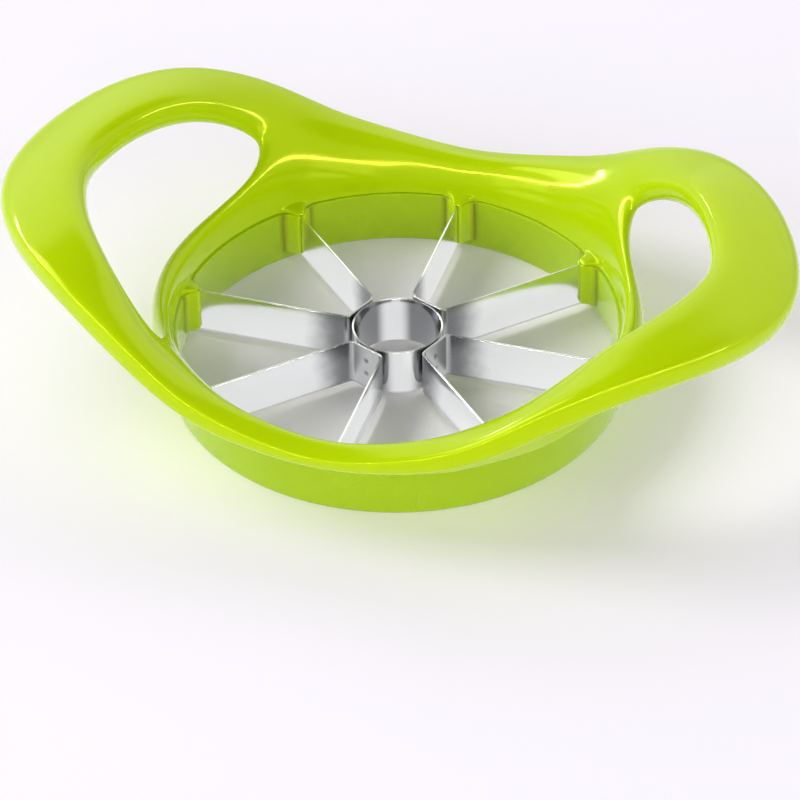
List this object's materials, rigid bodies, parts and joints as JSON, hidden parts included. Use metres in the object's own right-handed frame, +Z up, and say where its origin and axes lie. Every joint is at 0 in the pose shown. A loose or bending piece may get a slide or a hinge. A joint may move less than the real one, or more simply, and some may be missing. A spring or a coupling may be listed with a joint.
{
  "type": "apple slicer",
  "caption": "Hand-pushed apple slicer and corer: a saddle-bent plastic ring with a finger grip at each end holds radial steel blades around a core tube.",
  "frame": {"origin": "middle of the base ring's flat bottom, where the slicer stands", "axes": "+X along the long side towards one grip, +Y across, +Z up, opposite to the cutting stroke"},
  "size_m": [0.191, 0.1254, 0.0479],
  "materials": {
    "frame_plastic": "glossy lime green moulding",
    "ring_plastic": "slightly duller green moulding",
    "blade_steel": "stainless steel with a fine rolled grain"
  },
  "bodies": {
    "root": {"handle_frame": "frame_plastic", "base_ring": "ring_plastic", "core_tube": "blade_steel", "blade_strip_1": "blade_steel", "blade_strip_2": "blade_steel", "blade_strip_3": "blade_steel", "blade_strip_4": "blade_steel"}
  },
  "joints": []
}
